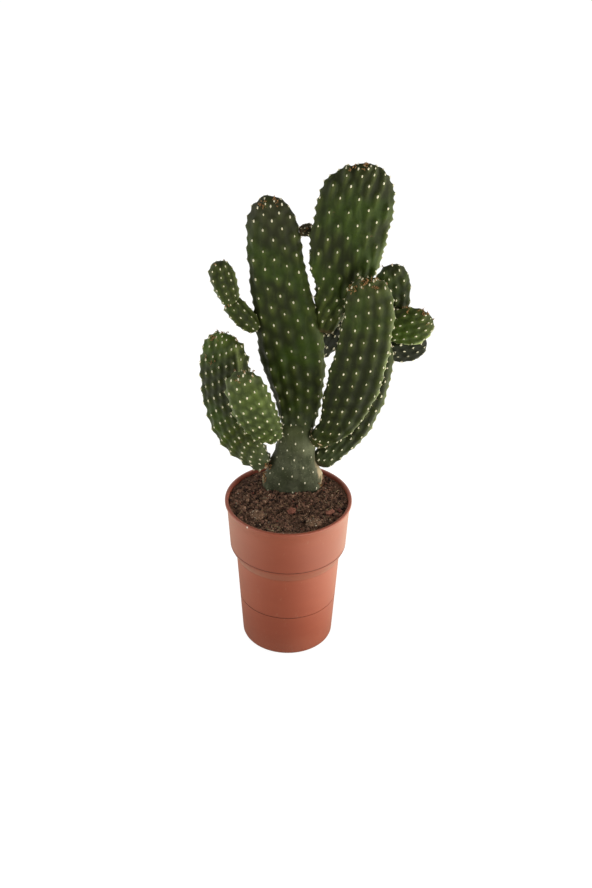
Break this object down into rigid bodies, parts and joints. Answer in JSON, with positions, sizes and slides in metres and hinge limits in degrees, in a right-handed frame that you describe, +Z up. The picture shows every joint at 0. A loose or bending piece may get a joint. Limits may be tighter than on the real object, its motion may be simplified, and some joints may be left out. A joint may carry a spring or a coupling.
{
  "type": "potted paddle cactus",
  "caption": "Branching paddle cactus of upright oblong pads and small side pads, rooted in dark soil in a tapered nursery pot with a wide rim band and a rolled lip.",
  "frame": {"origin": "on the pot's axis, at the flat face that the pot stands on", "axes": "+Z up along the pot's axis, -Y towards the side that the large pads face, +X towards the side with the front and rear right pads"},
  "size_m": [0.2124, 0.1312, 0.495],
  "materials": {
    "pot_plastic": "satin terracotta-orange moulded plastic",
    "potting_soil": "dark brown fibrous potting mix with pale straw and grit",
    "bark": "reddish brown weathered bark chips",
    "old_skin": "grey-green smooth aged cactus stem",
    "pad_skin": "dark green waxy cactus skin with rows of low tubercles",
    "young_skin": "lighter green waxy skin of young cactus pads"
  },
  "bodies": {
    "root": {"pot": "pot_plastic", "soil": "potting_soil", "bark_chip_front": "bark", "bark_chip_right": "bark", "bark_chip_far_right": "bark", "bark_chip_left": "bark", "bark_chip_lump": "bark", "stem_base": "old_skin", "main_pad": "pad_skin", "upper_right_pad": "pad_skin", "front_right_pad": "pad_skin", "rear_right_pad": "pad_skin", "back_pad": "pad_skin", "lower_left_pad": "pad_skin", "under_young_pad": "pad_skin", "left_arm_lower_pad": "pad_skin", "left_arm_upper_pad": "young_skin", "front_left_pad": "young_skin", "outer_young_pad": "young_skin", "upper_young_pad": "young_skin", "bud": "young_skin"}
  },
  "joints": []
}
